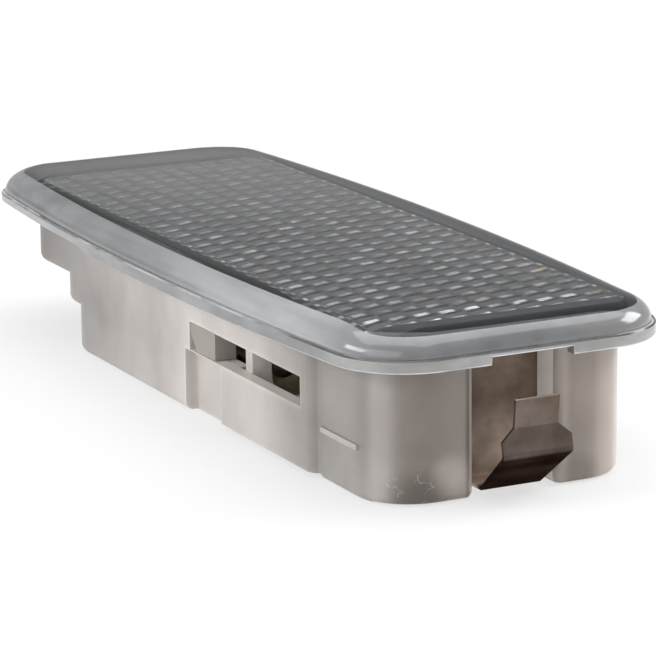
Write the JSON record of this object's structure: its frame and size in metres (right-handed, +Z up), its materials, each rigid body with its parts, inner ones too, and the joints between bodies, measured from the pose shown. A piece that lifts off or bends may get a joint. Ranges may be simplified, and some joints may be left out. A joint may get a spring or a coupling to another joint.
{
  "type": "sun visor lamp",
  "caption": "Slim interior lamp with a clear prismatic lens over a translucent stepped housing, a festoon bulb inside and a bent spring clip at one end.",
  "frame": {"origin": "on the flat underside of the housing, below the middle of the lens", "axes": "+X along the length towards the spring clip, +Z up through the lens, -Y towards the side with the groove"},
  "size_m": [0.0923, 0.0354, 0.0165],
  "materials": {
    "lens_clear": "clear moulded, polished, prismatic underside",
    "housing_milky": "translucent natural moulding, satin",
    "reflector_metallised": "vacuum metallised",
    "bulb_glass": "clear glass",
    "filament_wire": "drawn wire",
    "cap_metal": "nickel plated",
    "contact_brass": "stamped strip",
    "spring_steel": "bent spring strip"
  },
  "bodies": {
    "root": {"lens": "lens_clear", "housing": "housing_milky", "reflector": "reflector_metallised", "bulb_glass": "bulb_glass", "bulb_filament": "filament_wire", "bulb_cap_near": "cap_metal", "bulb_cap_far": "cap_metal", "contact_near": "contact_brass", "contact_far": "contact_brass", "retaining_clip": "spring_steel"}
  },
  "joints": []
}
